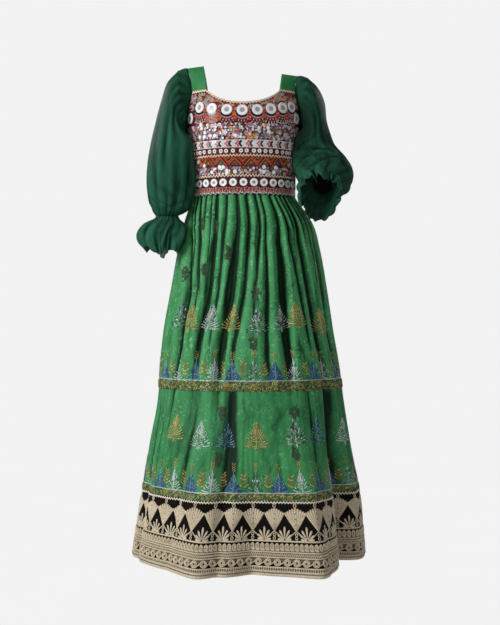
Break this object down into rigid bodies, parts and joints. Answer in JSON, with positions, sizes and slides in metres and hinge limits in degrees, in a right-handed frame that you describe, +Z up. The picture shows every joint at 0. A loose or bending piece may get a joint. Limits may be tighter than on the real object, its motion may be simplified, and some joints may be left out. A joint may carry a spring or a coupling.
{
  "type": "traditional dress",
  "caption": "Long dress in its worn, open shape: embroidered bodice, sheer balloon sleeves with cuff ruffles, gathered tiered skirt and raised cutwork hem border.",
  "frame": {"origin": "on the wearer's shoulders, midway between the tops of the two straps", "axes": "+Z up, -Y out of the dress's front, +X towards the wearer's left"},
  "size_m": [0.6139, 0.4885, 1.288],
  "materials": {
    "green_satin": "satin with a woven-in pattern and metallic thread trees",
    "chiffon": "matte, slightly sheer",
    "embroidery": "covered in thread, beads and sequins",
    "cream_braid": "braided cream and gold thread",
    "hem_border": "black cloth under couched cream cord",
    "gold_braid": "woven metallic braid",
    "beads": "glossy small beads",
    "disc": "white discs with mirror middles"
  },
  "bodies": {
    "root": {"bead_band": "beads", "bodice_back": "green_satin", "bodice_front": "embroidery", "cuff_ruffle_left": "chiffon", "cuff_ruffle_right": "chiffon", "disc_lower_1": "disc", "disc_lower_10": "disc", "disc_lower_11": "disc", "disc_lower_12": "disc", "disc_lower_13": "disc", "disc_lower_2": "disc", "disc_lower_3": "disc", "disc_lower_4": "disc", "disc_lower_5": "disc", "disc_lower_6": "disc", "disc_lower_7": "disc", "disc_lower_8": "disc", "disc_lower_9": "disc", "disc_side_left": "disc", "disc_side_right": "disc", "disc_upper_1": "disc", "disc_upper_2": "disc", "disc_upper_3": "disc", "disc_upper_4": "disc", "disc_upper_5": "disc", "disc_upper_6": "disc", "disc_upper_7": "disc", "disc_upper_8": "disc", "gold_band_lower_back": "gold_braid", "gold_band_lower_front": "gold_braid", "gold_band_upper_back": "gold_braid", "gold_band_upper_front": "gold_braid", "hem_border_back": "hem_border", "hem_border_front": "hem_border", "lower_tier_back": "green_satin", "lower_tier_front": "green_satin", "ricrac_low": "cream_braid", "ricrac_middle": "cream_braid", "ricrac_neck": "cream_braid", "sleeve_left": "chiffon", "sleeve_right": "chiffon", "strap_left": "green_satin", "strap_right": "green_satin", "upper_tier_back": "green_satin", "upper_tier_front": "green_satin"}
  },
  "joints": []
}
